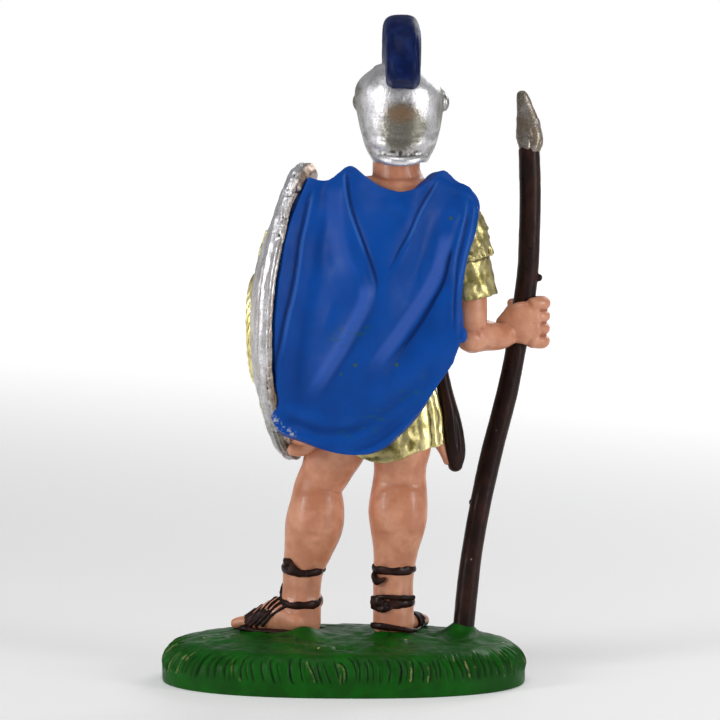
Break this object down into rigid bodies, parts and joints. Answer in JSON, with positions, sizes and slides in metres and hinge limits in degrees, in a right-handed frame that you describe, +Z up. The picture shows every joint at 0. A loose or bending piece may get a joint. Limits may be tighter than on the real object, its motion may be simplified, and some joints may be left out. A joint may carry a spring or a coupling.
{
  "type": "roman soldier figurine",
  "caption": "Moulded nativity figurine: Roman soldier in helmet and cloak with an oval shield and a spear, standing on a grassy oval base.",
  "frame": {"origin": "middle of the base's flat underside", "axes": "+Z up; the soldier faces -Y, his spear hand is at -X and his shield at +X"},
  "size_m": [0.0624, 0.0327, 0.1072],
  "materials": {
    "painted_pvc": "hand-painted solid PVC, semi-gloss varnish",
    "flesh_paint": "semi-gloss flesh paint with rosy shading",
    "blue_cloak_paint": "gloss mid blue paint, violet where it catches the light",
    "navy_crest_paint": "gloss navy paint",
    "silver_paint": "grainy metallic silver paint with brown wash in the hollows",
    "gold_paint": "metallic gold paint with olive wash in the hollows",
    "brown_leather_paint": "gloss dark red-brown paint",
    "green_grass_paint": "gloss grass green paint, worn pale at the tips of the blades"
  },
  "bodies": {
    "root": {"roman_soldier_figurine": "painted_pvc"}
  },
  "joints": []
}
